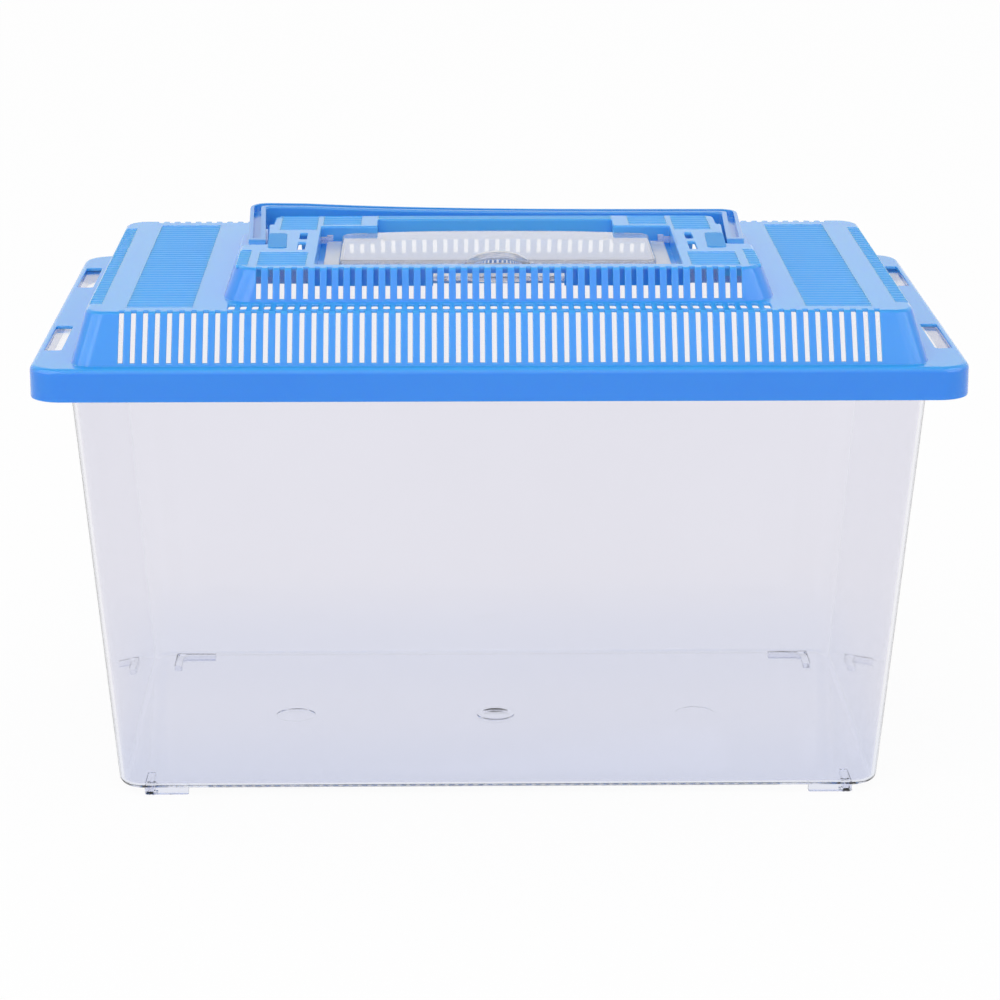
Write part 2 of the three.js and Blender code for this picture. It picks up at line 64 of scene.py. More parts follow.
def choose(piece, kind, test):
    cage = bmesh.from_edit_mesh(piece.data)
    items = {"VERT": cage.verts, "EDGE": cage.edges, "FACE": cage.faces}[kind]
    chosen = [item for item in items if test(item)]
    for item in chosen:
        item.select_set(True)
    cage.select_flush_mode()
    bmesh.update_edit_mesh(piece.data)
    return len(chosen)


def place(vert):
    return vert.co / mm


def near(a, b, slack=0.02):
    return abs(a - b) < slack


def middle(edge):
    return (place(edge.verts[0]) + place(edge.verts[1])) / 2


def upright(edge):
    along = edge.verts[0].co - edge.verts[1].co
    return abs(along.z) > 0.7 * along.length


def uprightAt(edge, y, slack=1):
    return upright(edge) and near(middle(edge).y, y, slack)


def alongX(edge):
    return near(edge.verts[0].co.y, edge.verts[1].co.y, 0.00001)


def atSide(edge, x):
    return all(near(abs(vert.co.x), x * mm, 0.00001) for vert in edge.verts)


def atLevel(edge, z):
    return all(near(place(vert).z, z) for vert in edge.verts)


def creased(edge, least=0.3):
    return len(edge.link_faces) == 2 and edge.calc_face_angle() > least


def hollowCrease(edge):
    return creased(edge) and edge.calc_face_angle_signed() < 0


def addBlock(name, xSpan, ySpan, zSpan):
    bpy.ops.object.select_all(action="DESELECT")
    spans = (xSpan, ySpan, zSpan)
    centre = [(low + high) / 2 * mm for low, high in spans]
    size = [(high - low) * mm for low, high in spans]
    bpy.ops.mesh.primitive_cube_add(size=1, location=centre, scale=size)
    block = bpy.context.active_object
    block.name = name
    bpy.ops.object.transform_apply(location=True, rotation=True, scale=True)
    return block


def addRound(name, radius, depth, centre, axis="Z", count=48):
    bpy.ops.object.select_all(action="DESELECT")
    turn = {"Z": (0, 0, 0), "X": (0, math.pi / 2, 0)}[axis]
    bpy.ops.mesh.primitive_cylinder_add(
        vertices=count, radius=radius * mm, depth=depth * mm,
        location=[value * mm for value in centre], rotation=turn,
    )
    rod = bpy.context.active_object
    rod.name = name
    bpy.ops.object.transform_apply(location=True, rotation=True, scale=True)
    return rod


def addBall(name, radii, centre, segments=48, rings=24):
    bpy.ops.object.select_all(action="DESELECT")
    bpy.ops.mesh.primitive_uv_sphere_add(
        segments=segments, ring_count=rings, radius=1,
        location=[value * mm for value in centre], scale=[value * mm for value in radii],
    )
    ball = bpy.context.active_object
    ball.name = name
    bpy.ops.object.transform_apply(location=True, rotation=True, scale=True)
    return ball


def resizeVerts(piece, test, scale, centre):
    edit(piece, "VERT")
    choose(piece, "VERT", test)
    bpy.ops.transform.resize(value=scale, center_override=[value * mm for value in centre])
    leave()


def roundEdges(piece, test, radius, steps=3):
    edit(piece, "EDGE")
    count = choose(piece, "EDGE", test)
    if count:
        bpy.ops.mesh.bevel(
            offset=radius * mm, offset_type="OFFSET", segments=steps,
            affect="EDGES", clamp_overlap=False,
        )
    leave()
    return count


def combine(piece, other, operation):
    alone(piece)
    change = piece.modifiers.new("combine", "BOOLEAN")
    change.operation = operation
    change.solver = "EXACT"
    change.material_mode = "TRANSFER"
    change.object = other
    bpy.ops.object.modifier_apply(modifier=change.name)
    bpy.data.objects.remove(other)
    return piece


def weld(piece):
    edit(piece, "VERT")
    bpy.ops.mesh.select_all(action="SELECT")
    bpy.ops.mesh.remove_doubles(threshold=0.002 * mm)
    leave()


def repeat(piece, count, step):
    alone(piece)
    row = piece.modifiers.new("row", "ARRAY")
    row.count = count
    row.use_relative_offset = False
    row.use_constant_offset = True
    row.constant_offset_displace = [value * mm for value in step]
    bpy.ops.object.modifier_apply(modifier=row.name)


def joinAll(name, pieces):
    bpy.ops.object.select_all(action="DESELECT")
    for piece in pieces:
        piece.select_set(True)
    bpy.context.view_layer.objects.active = pieces[0]
    bpy.ops.object.join()
    pieces[0].name = name
    return pieces[0]


def mirrorCopy(piece, axis):
    twin = piece.copy()
    twin.data = piece.data.copy()
    bpy.context.collection.objects.link(twin)
    alone(twin)
    twin.scale[axis] = -1
    bpy.ops.object.transform_apply(location=True, rotation=True, scale=True)
    edit(twin, "FACE")
    bpy.ops.mesh.select_all(action="SELECT")
    bpy.ops.mesh.normals_make_consistent(inside=False)
    leave()
    return twin


def finishSurface(piece, material, angle=32, others=()):
    kept = [polygon.material_index for polygon in piece.data.polygons]
    piece.data.materials.clear()
    piece.data.materials.append(material)
    for other in others:
        piece.data.materials.append(other)
    for polygon, index in zip(piece.data.polygons, kept):
        polygon.material_index = index if index <= len(others) else 0
    alone(piece)
    bpy.ops.object.shade_smooth_by_angle(angle=math.radians(angle))
    even = piece.modifiers.new("even", "WEIGHTED_NORMAL")
    even.keep_sharp = True
    bpy.ops.object.modifier_apply(modifier=even.name)


# Small helpers for node trees


def feed(tree, value, socket):
    if isinstance(value, bpy.types.NodeSocket):
        tree.links.new(value, socket)
    else:
        socket.default_value = value


def addMath(tree, operation, *values):
    node = tree.nodes.new("ShaderNodeMath")
    node.operation = operation
    for value, socket in zip(values, node.inputs):
        feed(tree, value, socket)
    return node.outputs["Value"]


def addRange(tree, value, fromSpan, toSpan=(0, 1), kind="LINEAR"):
    node = tree.nodes.new("ShaderNodeMapRange")
    node.interpolation_type = kind
    for name, end in zip(("From Min", "From Max", "To Min", "To Max"), (*fromSpan, *toSpan)):
        node.inputs[name].default_value = end
    feed(tree, value, node.inputs["Value"])
    return node.outputs["Result"]


def addMix(tree, factor, first, second):
    node = tree.nodes.new("ShaderNodeMix")
    node.data_type = "RGBA"
    feed(tree, factor, node.inputs["Factor"])
    feed(tree, first, node.inputs["A"])
    feed(tree, second, node.inputs["B"])
    return node.outputs["Result"]


def splitUp(tree, kind):
    coordinates = tree.nodes.new("ShaderNodeTexCoord")
    split = tree.nodes.new("ShaderNodeSeparateXYZ")
    tree.links.new(coordinates.outputs[kind], split.inputs["Vector"])
    return split.outputs["Z"]


# Finishes

blueFinish = {
    "base": (0.030, 0.272, 0.95),
    "deep": (0.026, 0.255, 0.92),
    # top: upward faces get a lighter, greener blue, painted light standing in for light falling from above
    "top": (0.036, 0.37, 0.94),
    # inside: inner and cut faces are painted a lighter blue, painted light for light that comes in through
    # the slots and thin walls
    "inside": (0.085, 0.41, 1.0),
    "ribbed": (0.075, 0.39, 1.0),
    "pad": (0.03, 0.30, 1.0),
    "roughness": 0.12,
    "matteRoughness": 0.45,
    "matteShine": 0.32,
    "padShine": 0.16,
    "ior": 1.5,
    "handleBase": (0.08, 0.38, 0.80),
    # handleTopPaintedShade: the handle's upward faces, its channel floor among them, are painted a darker
    # blue, a painted shade in the channel
    "handleTopPaintedShade": (0.06, 0.31, 0.76),
    "depthShare": 0.6,
    "depth": 4,
    "depthReach": (0.25, 0.6, 1.0),
    "roughSpread": 0.08,
    "flowScale": 14,
    "grainScale": 2600,
    "bump": 0.05,
    "matteBump": 0.5,
}
clearFinish = {
    "tank": (0.885, 0.88, 0.922),
    # tankGrazingShade and doorGrazingShade: clear plastic is painted darker where it is seen edge-on, a
    # painted dark reflection of the surroundings
    "tankGrazingShade": (0.84, 0.85, 0.89),
    # tankLowPaintedShade: the tank's walls are painted a darker tone toward the base, a painted shade
    "tankLowPaintedShade": (0.80, 0.82, 0.905),
    "paintedShadeSpan": (4, 46),
    "tankClarity": 1,
    "door": (0.915, 0.935, 1.0),
    "doorGrazingShade": (0.87, 0.9, 1.0),
    "doorClarity": 0.8,
    "rim": (0.97, 0.98, 1.0),
    "rimClarity": 0.6,
    "roughness": 0.02,
    "frosted": 0.22,
    "ior": 1.5,
    "deepShare": 0.985,
    "facing": 0.12,
    "roughSpread": 0.03,
    "flowScale": 7,
    "grainScale": 260,
    "bump": 0.02,
}


def makeSkinGroup():
    group = bpy.data.node_groups.new("mouldedSkin", "ShaderNodeTree")
    face = group.interface
    for name, kind, value in (
        ("Colour", "NodeSocketColor", (0.8, 0.8, 0.8, 1)),
        ("Deep Colour", "NodeSocketColor", (0.7, 0.7, 0.7, 1)),
        ("Top Painted Shading", "NodeSocketColor", (0.8, 0.8, 0.8, 1)),
        ("Roughness", "NodeSocketFloat", 0.2),
        ("Roughness Spread", "NodeSocketFloat", 0.06),
        ("Flow Scale", "NodeSocketFloat", 9.0),
        ("Grain Scale", "NodeSocketFloat", 900.0),
    ):
        socket = face.new_socket(name, in_out="INPUT", socket_type=kind)
        socket.default_value = value
    for name, kind in (
        ("Colour", "NodeSocketColor"),
        ("Roughness", "NodeSocketFloat"),
        ("Height", "NodeSocketFloat"),
    ):
        face.new_socket(name, in_out="OUTPUT", socket_type=kind)
    nodes, links = group.nodes, group.links
    entry = nodes.new("NodeGroupInput")
    exit = nodes.new("NodeGroupOutput")
    coordinates = nodes.new("ShaderNodeTexCoord")
    flow = nodes.new("ShaderNodeTexNoise")
    flow.inputs["Detail"].default_value = 4
    flow.inputs["Roughness"].default_value = 0.55
    grain = nodes.new("ShaderNodeTexNoise")
    grain.inputs["Detail"].default_value = 2
    for noise, scale in ((flow, "Flow Scale"), (grain, "Grain Scale")):
        links.new(coordinates.outputs["Object"], noise.inputs["Vector"])
        links.new(entry.outputs[scale], noise.inputs["Scale"])
    tone = addRange(group, flow.outputs["Fac"], (0.3, 0.7))
    blend = addMix(group, tone, entry.outputs["Colour"], entry.outputs["Deep Colour"])
    # Painted light: faces that look up are mixed toward the top colour, a tone painted for how light falls
    # on them
    rise = addRange(group, splitUp(group, "Normal"), (0.25, 0.95))
    links.new(addMix(group, rise, blend, entry.outputs["Top Painted Shading"]), exit.inputs["Colour"])
    swing = addMath(group, "SUBTRACT", flow.outputs["Fac"], 0.5)
    roughness, roughSpread = entry.outputs["Roughness"], entry.outputs["Roughness Spread"]
    spread = addMath(group, "MULTIPLY_ADD", swing, roughSpread, roughness)
    links.new(spread, exit.inputs["Roughness"])
    links.new(grain.outputs["Fac"], exit.inputs["Height"])
    return group


mouldedSkin = makeSkinGroup()


def startMaterial(name, finish, colours, roughness, bump):
    material = bpy.data.materials.new(name)
    material.use_nodes = True
    nodes, links = material.node_tree.nodes, material.node_tree.links
    shader = nodes["Principled BSDF"]
    skin = nodes.new("ShaderNodeGroup")
    skin.node_tree = mouldedSkin
    for socket, colour in zip(("Colour", "Deep Colour", "Top Painted Shading"), colours):
        skin.inputs[socket].default_value = (*colour, 1)
    skin.inputs["Roughness"].default_value = roughness
    skin.inputs["Roughness Spread"].default_value = finish["roughSpread"]
    skin.inputs["Flow Scale"].default_value = finish["flowScale"]
    skin.inputs["Grain Scale"].default_value = finish["grainScale"]
    relief = nodes.new("ShaderNodeBump")
    relief.inputs["Strength"].default_value = bump
    relief.inputs["Distance"].default_value = 0.1 * mm
    links.new(skin.outputs["Height"], relief.inputs["Height"])
    links.new(relief.outputs["Normal"], shader.inputs["Normal"])
    links.new(skin.outputs["Roughness"], shader.inputs["Roughness"])
    return material, shader, skin


def makeBlue(name, tones=("base", "deep", "top"), matte=False, shine="matteShine"):
    finish = blueFinish
    roughness = finish["matteRoughness"] if matte else finish["roughness"]
    bump = finish["matteBump"] if matte else finish["bump"]
    colours = [finish[tone] for tone in tones]
    material, shader, skin = startMaterial(name, finish, colours, roughness, bump)
    material.node_tree.links.new(skin.outputs["Colour"], shader.inputs["Base Color"])
    shader.inputs["IOR"].default_value = finish["ior"]
    shader.inputs["Subsurface Weight"].default_value = finish["depthShare"]
    shader.inputs["Subsurface Radius"].default_value = finish["depthReach"]
    shader.inputs["Subsurface Scale"].default_value = finish["depth"] * mm
    if matte:
        shader.inputs["Specular IOR Level"].default_value = finish[shine]
    return material


# Clear plastic, painted darker where it is seen edge-on (painted reflection), and for the tank a painted
# shade: a deeper tone toward the base, where its walls look darker
def makeClear(name, through, edge, clarity, roughness="roughness", low=None):
    finish = clearFinish
    deep = [value * finish["deepShare"] for value in finish[through]]
    colours = (finish[through], deep, finish[through])
    material, shader, skin = startMaterial(name, finish, colours, finish[roughness], finish["bump"])
    tree = material.node_tree
    # Painted reflection: faces seen at a grazing angle are mixed toward a darker edge tone
    facing = tree.nodes.new("ShaderNodeLayerWeight")
    facing.inputs["Blend"].default_value = finish["facing"]
    body = skin.outputs["Colour"]
    if low:
        # Painted shade: the tank is mixed toward a darker tone near its base
        paintedShadeSpan = [level * mm for level in finish["paintedShadeSpan"]]
        lowShadeMask = addRange(tree, splitUp(tree, "Object"), paintedShadeSpan, (1, 0), "SMOOTHSTEP")
        body = addMix(tree, lowShadeMask, body, (*finish[low], 1))
    colour = addMix(tree, facing.outputs["Facing"], body, (*finish[edge], 1))
    tree.links.new(colour, shader.inputs["Base Color"])
    shader.inputs["Transmission Weight"].default_value = finish[clarity]
    shader.inputs["IOR"].default_value = finish["ior"]
    return material


gloss = makeBlue("blueGloss")
matte = makeBlue("blueMatte", ("pad", "pad", "pad"), matte=True, shine="padShine")
satin = makeBlue("blueSatin", ("ribbed", "ribbed", "ribbed"), matte=True)
# Inner and cut faces of the lid get a lighter blue: painted light for light coming in through slots and thin
# walls
inside = makeBlue("blueInsidePaintedLight", ("inside", "inside", "inside"))
handleBlue = makeBlue("handleBlue", ("handleBase", "handleBase", "handleTopPaintedShade"))
clearTank = makeClear("clearTank", "tank", "tankGrazingShade", "tankClarity", low="tankLowPaintedShade")
clearDoor = makeClear("clearDoor", "door", "doorGrazingShade", "doorClarity")
frosted = makeClear("frostedRim", "rim", "rim", "rimClarity", "frosted")

# Marks that tell a piece's faces apart while it is shaped
outsideMark = bpy.data.materials.new("outsideMark")
insideMark = bpy.data.materials.new("insideMark")
cutMark = bpy.data.materials.new("cutMark")
print("finishes made")

# Tank

tank = {
    "base": (156, 88.9),
    "mouth": (170.8, 100.5),
    "floorLevel": 2.6,
    "rimTop": 183.9,
    "rim": (181.6, 112.6),
    "rimRadius": 10.4,
    "rimEdge": 0.5,
    "wall": 1.8,
    "cornerRadius": 10.5,
    "baseRadius": 3.4,
    "foot": {
        "outer": (145.4, 87.6), "leg": 18, "thickness": 3.4, "top": 7.6,
        "boss": 2.7, "bubble": 1.9, "edge": 0.6, "toe": 0.4,
    },
    "ejector": {"x": 87, "radius": 8.5, "depths": {-1: 0.4, 1: 0.12}},
    "gate": {"radius": 8.2, "height": 0.5, "dimple": 6.8, "ball": 42},
}


def tubForm(name, inset, low, high):
    baseX, baseY = tank["base"]
    mouthX, mouthY = tank["mouth"]
    depth = tank["rimTop"] - tank["floorLevel"]

    def half(level):
        rise = (level - tank["floorLevel"]) / depth
        return (
            baseX + (mouthX - baseX) * rise - inset,
            baseY + (mouthY - baseY) * rise - inset,
        )

    lowX, lowY = half(low)
    highX, highY = half(high)
    form = addBlock(name, (-lowX, lowX), (-lowY, lowY), (low, high))
    scale = (highX / lowX, highY / lowY, 1)
    resizeVerts(form, lambda vert: near(place(vert).z, high), scale, (0, 0, high))
    roundEdges(form, upright, tank["cornerRadius"] - inset, 8)
    roundEdges(form, lambda edge: atLevel(edge, low), tank["baseRadius"] - inset, 7)
    return form


def makeTank():
    top, wall, floor = tank["rimTop"], tank["wall"], tank["floorLevel"]
    shell = tubForm("tankShell", 0, floor, top - wall / 2)
    rimX, rimY = tank["rim"]
    rim = addBlock("rim", (-rimX, rimX), (-rimY, rimY), (top - wall, top))
    roundEdges(rim, upright, tank["rimRadius"], 8)
    roundEdges(rim, lambda edge: not upright(edge) and creased(edge), tank["rimEdge"], 2)
    combine(shell, rim, "UNION")
    foot = tank["foot"]
    outerX, outerY = foot["outer"]
    for sideX in (-1, 1):
        for sideY in (-1, 1):
            legs = []
            for reachX, reachY in ((foot["leg"], foot["thickness"]), (foot["thickness"], foot["leg"])):
                xSpan = sorted((sideX * outerX, sideX * (outerX - reachX)))
                ySpan = sorted((sideY * outerY, sideY * (outerY - reachY)))
                legs.append(addBlock("leg", xSpan, ySpan, (0, foot["top"])))
            leg = combine(legs[0], legs[1], "UNION")
            boss = foot["boss"]
            centre = (sideX * (outerX - boss), sideY * (outerY - boss), foot["top"] / 2)
            combine(leg, addRound("boss", boss, foot["top"], centre, "Z", 24), "UNION")
            weld(leg)
            roundEdges(leg, lambda edge: upright(edge) and creased(edge, 1.2), foot["edge"], 2)
            roundEdges(leg, lambda edge: atLevel(edge, 0) and creased(edge), foot["toe"], 2)
            combine(shell, leg, "UNION")
    hollow = tubForm("hollow", wall, floor + wall, top + 4)
    ejector = tank["ejector"]
    for side, depth in ejector["depths"].items():
        centre = (side * ejector["x"], 0, floor + wall + 2 - depth)
        combine(hollow, addRound("disc", ejector["radius"], 4, centre, "Z", 64), "UNION")
    gate = tank["gate"]
    pip = addRound("pip", gate["radius"], 4, (0, 0, floor + wall + gate["height"] - 2), "Z", 64)
    combine(hollow, pip, "DIFFERENCE")
    ball = gate["ball"]
    sink = math.sqrt(ball ** 2 - gate["dimple"] ** 2)
    dimple = addBall("dimple", (ball, ball, ball), (0, 0, floor + wall + gate["height"] + sink), 96, 64)
    combine(dimple, addBlock("above", (-20, 20), (-20, 20), (floor + wall + 1.5, 60)), "DIFFERENCE")
    combine(hollow, dimple, "UNION")
    for sideX in (-1, 1):
        for sideY in (-1, 1):
            centre = (sideX * (outerX - foot["boss"]), sideY * (outerY - foot["boss"] - 1), floor + wall)
            combine(hollow, addBall("bubble", (foot["bubble"],) * 3, centre, 24, 12), "UNION")
    combine(shell, hollow, "DIFFERENCE")
    weld(shell)
    roundEdges(
        shell,
        lambda edge: atLevel(edge, top) and creased(edge) and insideMouth(edge),
        tank["rimEdge"], 2,
    )
    finishSurface(shell, clearTank)
    return shell


def insideMouth(edge):
    mouthX, mouthY = tank["mouth"]
    centre = middle(edge)
    return abs(centre.x) < mouthX + 0.5 and abs(centre.y) < mouthY + 0.5


tankShell = makeTank()
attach(tankShell, "tank")
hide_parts("tank")
print("tank made", len(tankShell.data.polygons))

# Lid

lid = {
    "wall": 1.2,
    "skirt": {"half": (184, 115), "span": (172.3, 185.4), "corner": 13, "edge": 2.4, "lowEdge": 0.4},
    "plateau": {"base": (168, 110), "top": (162.8, 96.7), "height": 19, "corner": 8, "edge": 1.4},
    "platform": {
        "half": 105.3, "lean": 4.7, "front": 72.3, "frontLean": 7.2, "height": 12.3,
        "step": -21.5, "narrow": 95.2, "narrowBack": 94.5, "back": 43,
        "corner": 11, "backCorner": 5, "stepCorner": 2, "edge": 1.3,
        "flare": {"front": -30, "frontHalf": 94.33, "back": 23.5, "backHalf": 96.66, "corner": 1.5},
    },
    "shelf": {"half": 109.4, "front": -22.5, "back": 65, "height": 2, "corner": 12, "edge": 0.7},
    "recess": {
        "half": 73.8, "front": -64, "back": 18, "notchHalf": 50, "notchBack": 34,
        "ledgeTop": 208.9, "ledge": 0.9, "ledgeWidth": 9.8, "corner": 1.5, "edge": 0.8,
        "gripRoom": ((-26.3, 26.3), (-67, -54.5), (205, 213.1)),
    },
    "slots": {"width": 1.85, "sill": 1, "overTop": 2.7, "overBack": 3.8, "soften": 0.55},
    "plateauSlots": {"count": 64, "pitch": 4.702},
    "platformSlots": {"count": 42, "pitch": 4.665},
    "holes": {"count": 46, "pitch": 4.702, "width": 2.5, "span": (-92, -82)},
    "windows": {"span": (174.3, 180.9), "rows": ((-80, -35.5), (43, 85)), "corner": 1.2},
    "topSlots": {"span": (79, 82), "rows": ((-33, -17), (-10.5, 3)), "corner": 0.8},
    "pivot": {"y": -10, "z": 211.75, "radius": 2.65, "depth": 8, "count": 32},
    "hinge": {"y": 13.5, "z": 211.6, "radius": 1.65, "depth": 5, "count": 24},
    "fillet": 0.35,
}
flangeTop = lid["skirt"]["span"][1]
plateauTop = flangeTop + lid["plateau"]["height"]
platformTop = plateauTop + lid["platform"]["height"]
shelfTop = plateauTop + lid["shelf"]["height"]


def levelWall(wall, lean, height):
    return wall * math.hypot(lean, height) / height


def skirtForm(wall):
    skirt = lid["skirt"]
    halfX, halfY = skirt["half"][0] - wall, skirt["half"][1] - wall
    low = skirt["span"][0] - (2 if wall else 0)
    high = skirt["span"][1] - wall
    form = addBlock("lidShell", (-halfX, halfX), (-halfY, halfY), (low, high))
    roundEdges(form, upright, skirt["corner"] - wall, 10)
    roundEdges(form, lambda edge: atLevel(edge, high), skirt["edge"] - wall, 4)
    if not wall:
        roundEdges(form, lambda edge: atLevel(edge, low), skirt["lowEdge"], 2)
    return form


def plateauForm(wall):
    plateau = lid["plateau"]
    leanX = plateau["base"][0] - plateau["top"][0]
    leanY = plateau["base"][1] - plateau["top"][1]
    low = flangeTop - (lid["wall"] + 1 if wall else lid["wall"] / 2)
    high = plateauTop - wall

    def half(level):
        rise = (level - flangeTop) / plateau["height"]
        return (
            plateau["base"][0] - leanX * rise - levelWall(wall, leanX, plateau["height"]),
            plateau["base"][1] - leanY * rise - levelWall(wall, leanY, plateau["height"]),
        )

    lowX, lowY = half(low)
    highX, highY = half(high)
    form = addBlock("plateau", (-lowX, lowX), (-lowY, lowY), (low, high))
    scale = (highX / lowX, highY / lowY, 1)
    resizeVerts(form, lambda vert: near(place(vert).z, high), scale, (0, 0, high))
    roundEdges(form, upright, plateau["corner"] - wall, 8)
    roundEdges(form, lambda edge: atLevel(edge, high), max(plateau["edge"] - wall, 0.25), 4)
    return form


def platformForm(wall):
    platform = lid["platform"]
    sideWall = levelWall(wall, platform["lean"], platform["height"])
    frontWall = levelWall(wall, platform["frontLean"], platform["height"])
    low = plateauTop - (lid["wall"] + 1 if wall else lid["wall"] / 2)
    high = platformTop - wall
    step = platform["step"] - wall

    def edges(level):
        fall = 1 - (level - plateauTop) / platform["height"]
        halfX = platform["half"] + platform["lean"] * fall - sideWall
        front = -platform["front"] - platform["frontLean"] * fall + frontWall
        return halfX, front

    lowX, lowFront = edges(low)
    highX, highFront = edges(high)
    form = addBlock("platform", (-lowX, lowX), (lowFront, step), (low, high))
    scale = (highX / lowX, (highFront - step) / (lowFront - step), 1)
    resizeVerts(form, lambda vert: near(place(vert).z, high), scale, (0, step, high))
    narrow = platform["narrow"] - wall
    for side in (-1, 1):
        edit(form, "FACE")
        bpy.ops.mesh.select_all(action="SELECT")
        bpy.ops.mesh.bisect(plane_co=(side * narrow * mm, 0, 0), plane_no=(1, 0, 0))
        leave()
    back = platform["back"] - wall
    edit(form, "FACE")
    choose(
        form, "FACE",
        lambda face: face.normal.y > 0.9 and abs(face.calc_center_median().x) < narrow * mm / 2,
    )
    bpy.ops.mesh.extrude_region_move(TRANSFORM_OT_translate={"value": (0, (back - step) * mm, 0)})
    leave()
    tapered = (platform["narrowBack"] - wall) / narrow
    resizeVerts(form, lambda vert: near(place(vert).y, back), (tapered, 1, 1), (0, back, 0))
    edit(form, "FACE")
    bpy.ops.mesh.select_all(action="SELECT")
    bpy.ops.mesh.dissolve_limited(angle_limit=math.radians(0.5))
    leave()
    roundEdges(form, lambda edge: upright(edge) and middle(edge).y < -50, platform["corner"] - wall, 8)
    roundEdges(form, lambda edge: uprightAt(edge, back), platform["backCorner"] - wall, 8)
    if not wall:
        roundEdges(form, lambda edge: uprightAt(edge, step), platform["stepCorner"], 4)
    rim = max(platform["edge"] - wall, 0.2)
    roundEdges(form, lambda edge: atLevel(edge, high) and creased(edge), rim, 4)
    combine(form, flareForm(wall, low, high, rim), "UNION")
    return form


# The platform's sides follow the handle's arms as far as a small step
def flareForm(wall, low, high, rim):
    flare = lid["platform"]["flare"]
    front, back = flare["front"], flare["back"] - wall
    frontHalf, backHalf = flare["frontHalf"] - wall, flare["backHalf"] - wall
    form = addBlock("flare", (-backHalf, backHalf), (front, back), (low, high))
    scale = (frontHalf / backHalf, 1, 1)
    resizeVerts(form, lambda vert: near(place(vert).y, front), scale, (0, front, 0))
    if not wall:
        roundEdges(form, lambda edge: uprightAt(edge, back, 0.02), flare["corner"], 4)
    roundEdges(
        form,
        lambda edge: atLevel(edge, high) and creased(edge) and middle(edge).y > front + 1,
        rim, 4,
    )
    return form


def shelfForm(wall):
    shelf = lid["shelf"]
    half, back = shelf["half"] - wall, shelf["back"] - wall
    low = plateauTop - (lid["wall"] + 1 if wall else lid["wall"] / 2)
    high = shelfTop - wall
    form = addBlock("shelf", (-half, half), (shelf["front"], back), (low, high))
    roundEdges(form, lambda edge: upright(edge) and middle(edge).y > 0, shelf["corner"] - wall, 8)
    if not wall:
        roundEdges(form, lambda edge: atLevel(edge, high) and middle(edge).y > -20, shelf["edge"], 3)
    return form


def lidForm(wall):
    form = skirtForm(wall)
    combine(form, plateauForm(wall), "UNION")
    combine(form, platformForm(wall), "UNION")
    combine(form, shelfForm(wall), "UNION")
    weld(form)
    return form


def markAll(piece, mark):
    piece.data.materials.clear()
    piece.data.materials.append(mark)
    return piece


def markIndex(piece, mark):
    return piece.data.materials.find(mark.name)


def cutThrough(piece, cutters):
    combine(piece, markAll(cutters, cutMark), "DIFFERENCE")
    weld(piece)


def softenCuts(piece, radius, steps=2):
    cut, outside = markIndex(piece, cutMark), markIndex(piece, outsideMark)

    def rim(edge):
        kinds = {face.material_index for face in edge.link_faces}
        return kinds == {cut, outside} and creased(edge)

    count = roundEdges(piece, rim, radius, steps)
    inner = markIndex(piece, insideMark)
    for polygon in piece.data.polygons:
        if polygon.material_index == cut:
            polygon.material_index = inner
    print("softened", count, len(piece.data.polygons))


def rowOf(name, row, width, ySpan, zSpan, rounded=0):
    count, pitch = row["count"], row["pitch"]
    first = -(count - 1) / 2 * pitch
    cutter = addBlock(name, (first - width / 2, first + width / 2), ySpan, zSpan)
    if rounded:
        roundEdges(cutter, upright, rounded, 4)
    repeat(cutter, count, (pitch, 0, 0))
    return cutter


# Fields of fine ribs, sunk into the tops of the lid

ribs = {
    "pitch": 4.702,
    "width": 4.5,
    "sunk": 0.5,
    "soften": 1.6,
    "squash": 0.42,
    "plateauFields": (((121, 147), (-88.6, 86)), ((157.3, 162.3), (-81.6, 79))),
    "platformFields": (
        ((77.3, 96.8), (-67, -39.1)),
        ((100.4, 105), (-66, -34)),
        ((75.5, 91), (9.7, 41.4)),
        ((57, 73.2), (21, 41.4)),
        ((0, 50), (35.1, 42.2)),
    ),
}


def ribLevels():
    for xSpan, ySpan in ribs["plateauFields"]:
        yield xSpan, ySpan, plateauTop
    for xSpan, ySpan in ribs["platformFields"]:
        yield xSpan, ySpan, platformTop


def ribPockets():
    pockets = [
        addBlock("pocket", xSpan, ySpan, (level - ribs["sunk"], level + 2))
        for xSpan, ySpan, level in ribLevels()
    ]
    right = joinAll("pockets", pockets)
    return joinAll("pockets", [right, mirrorCopy(right, 0)])


def ribField(xSpan, ySpan, level):
    pitch = ribs["pitch"]
    count = round((ySpan[1] - ySpan[0]) / pitch)
    pitch = (ySpan[1] - ySpan[0]) / count
    start = ySpan[0] + pitch / 2
    half, top = ribs["width"] / 2, level - 0.02
    rib = addBlock("rib", xSpan, (start - half, start + half), (top - 3, top))
    roundEdges(rib, lambda edge: atLevel(edge, top) and alongX(edge), ribs["soften"], 5)
    resizeVerts(rib, lambda vert: True, (1, 1, ribs["squash"]), (0, 0, top))
    edit(rib, "FACE")
    choose(rib, "FACE", lambda face: face.normal.z < -0.9)
    bpy.ops.mesh.delete(type="FACE")
    leave()
    repeat(rib, count, (0, pitch, 0))
    return rib


def hollowOut(shell):
    recess, wall = lid["recess"], lid["wall"]
    hollow = lidForm(wall)
    half, front, back = recess["half"], recess["front"], recess["back"]
    notchHalf, notchBack = recess["notchHalf"], recess["notchBack"]
    zSpan = (recess["ledgeTop"] - recess["ledge"], platformTop + 3)
    frames = (
        ((-half - wall, half + wall), (front - wall, back + wall)),
        ((-notchHalf - wall, notchHalf + wall), (0, notchBack + wall)),
    )
    for xSpan, ySpan in frames:
        combine(hollow, addBlock("frame", xSpan, ySpan, zSpan), "DIFFERENCE")
    markAll(hollow, insideMark)
    combine(shell, hollow, "DIFFERENCE")
    weld(shell)


